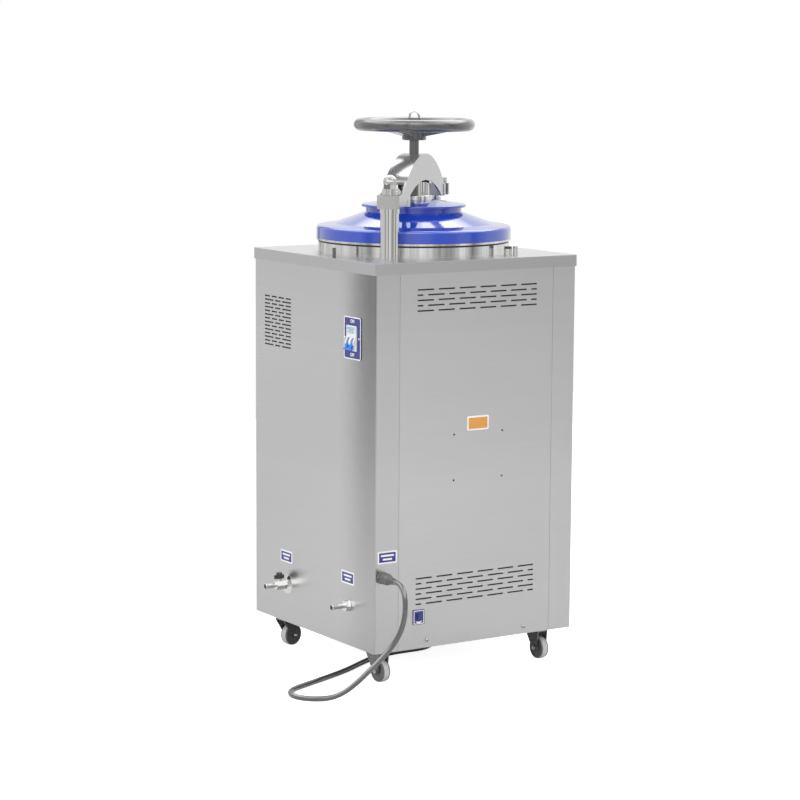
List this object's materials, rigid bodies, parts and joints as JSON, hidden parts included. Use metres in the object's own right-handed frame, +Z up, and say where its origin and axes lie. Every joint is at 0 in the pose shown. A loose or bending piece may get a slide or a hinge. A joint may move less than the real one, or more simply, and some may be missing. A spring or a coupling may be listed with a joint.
{
  "type": "vertical autoclave",
  "caption": "Upright steam steriliser cabinet on castors with a round swing-aside lid, bridge arm, handwheel closure, drain valve and mains lead.",
  "frame": {"origin": "on the floor under the middle of the whole object, measured without the mains lead", "axes": "+Z up, +Y out of the removable back panel, +X out of the side with the hose tails and the main switch"},
  "size_m": [0.741, 0.6536, 1.273],
  "materials": {
    "sheet_steel": "satin brushed stainless sheet",
    "polished_steel": "polished stainless",
    "lid_blue": "gloss blue enamel",
    "dark_metal": "dark polished plating",
    "black_rubber": "matt black rubber",
    "cord_grey": "smooth dark grey sheath",
    "navy_plate": "printed navy plate with a white edge",
    "switch_white": "moulded pale plastic",
    "switch_blue": "moulded blue plastic",
    "black_plastic": "moulded black plastic",
    "gland_grey": "moulded grey plastic",
    "castor_grey": "dark grey plated pressing",
    "wheel_grey": "grey wheel with a paler tread",
    "seal": "black silicone seal"
  },
  "bodies": {
    "cabinet": {"right_side_panel": "sheet_steel", "left_side_panel": "sheet_steel", "back_panel": "sheet_steel", "front_panel": "sheet_steel", "base_tray": "sheet_steel", "top_cover": "sheet_steel", "chamber": "sheet_steel", "flange_ring": "polished_steel", "gasket": "seal", "hinge_post": "polished_steel", "post_nut": "polished_steel", "latch_post": "polished_steel", "lock_pin": "dark_metal", "vent_stub": "polished_steel", "vent_cap": "black_plastic", "guard_stud": "polished_steel", "switch_plate": "navy_plate", "breaker_body": "switch_white", "drain_valve": "polished_steel", "air_outlet": "polished_steel", "reset_plate": "navy_plate", "castor_plates": "castor_grey", "cable_gland": "gland_grey", "power_cable": "cord_grey", "cable_coil": "cord_grey", "power_plug": "black_plastic"},
    "arm": {"bridge_arm": "polished_steel"},
    "lid": {"lid_plate": "polished_steel", "lid_cover": "lid_blue", "lid_collar": "polished_steel", "guide_rods": "polished_steel"},
    "handwheel": {"spindle": "dark_metal", "handwheel": "dark_metal", "wheel_eye": "dark_metal"},
    "breaker_lever": {"breaker_lever": "switch_blue"},
    "valve_handle": {"valve_handle": "black_plastic"},
    "reset_button": {"reset_button": "black_plastic"},
    "front_right_castor": {"front_right_castor_fork": "castor_grey"},
    "front_right_wheel": {"front_right_castor_wheel": "wheel_grey"},
    "back_right_castor": {"back_right_castor_fork": "castor_grey"},
    "back_right_wheel": {"back_right_castor_wheel": "wheel_grey"},
    "back_left_castor": {"back_left_castor_fork": "castor_grey"},
    "back_left_wheel": {"back_left_castor_wheel": "wheel_grey"},
    "front_left_castor": {"front_left_castor_fork": "castor_grey"},
    "front_left_wheel": {"front_left_castor_wheel": "wheel_grey"}
  },
  "joints": [
    {"name": "arm_swing", "type": "hinge", "parent": "cabinet", "child": "arm", "pos_m": [0.15115, 0.1789, 1.077], "axis": [0, 0, 1], "range_deg": [0, 135]},
    {"name": "lid_lift", "type": "slide", "parent": "arm", "child": "lid", "axis": [0, 0, 1], "range_m": [0, 0.02]},
    {"name": "wheel_turn", "type": "hinge", "parent": "lid", "child": "handwheel", "pos_m": [-0.02775, 0, 1.2404], "axis": [0, 0, 1], "range_deg": [0, 1440]},
    {"name": "breaker_switch", "type": "hinge", "parent": "cabinet", "child": "breaker_lever", "pos_m": [0.24755, 0.1732, 0.7685], "axis": [0, -1, 0], "range_deg": [0, 100]},
    {"name": "drain_valve_turn", "type": "hinge", "parent": "cabinet", "child": "valve_handle", "pos_m": [0.26325, -0.118, 0.188], "axis": [0, 0, 1], "range_deg": [0, 90]},
    {"name": "reset_press", "type": "slide", "parent": "cabinet", "child": "reset_button", "axis": [0, -1, 0], "range_m": [0, 0.002], "stiffness_N_per_m": 400},
    {"name": "front_right_castor_swivel", "type": "hinge", "parent": "cabinet", "child": "front_right_castor", "pos_m": [0.19225, -0.2015, 0.07], "axis": [0, 0, 1], "continuous": true},
    {"name": "front_right_wheel_spin", "type": "hinge", "parent": "front_right_castor", "child": "front_right_wheel", "pos_m": [0.18061, -0.2044, 0.026], "axis": [-0.2419, 0.9703, 0], "continuous": true},
    {"name": "back_right_castor_swivel", "type": "hinge", "parent": "cabinet", "child": "back_right_castor", "pos_m": [0.19225, 0.2015, 0.07], "axis": [0, 0, 1], "continuous": true},
    {"name": "back_right_wheel_spin", "type": "hinge", "parent": "back_right_castor", "child": "back_right_wheel", "pos_m": [0.19141, 0.21347, 0.026], "axis": [0.9976, 0.0698, 0], "continuous": true},
    {"name": "back_left_castor_swivel", "type": "hinge", "parent": "cabinet", "child": "back_left_castor", "pos_m": [-0.24775, 0.2015, 0.07], "axis": [0, 0, 1], "continuous": true},
    {"name": "back_left_wheel_spin", "type": "hinge", "parent": "back_left_castor", "child": "back_left_wheel", "pos_m": [-0.24775, 0.2135, 0.026], "axis": [1, 0, 0], "continuous": true},
    {"name": "front_left_castor_swivel", "type": "hinge", "parent": "cabinet", "child": "front_left_castor", "pos_m": [-0.24775, -0.2015, 0.07], "axis": [0, 0, 1], "continuous": true},
    {"name": "front_left_wheel_spin", "type": "hinge", "parent": "front_left_castor", "child": "front_left_wheel", "pos_m": [-0.25903, -0.1974, 0.026], "axis": [0.342, 0.9397, 0], "continuous": true}
  ],
  "couplings": [
    {"joint": "lid_lift", "follows": "wheel_turn", "m_per_rad": 0.00079577}
  ]
}
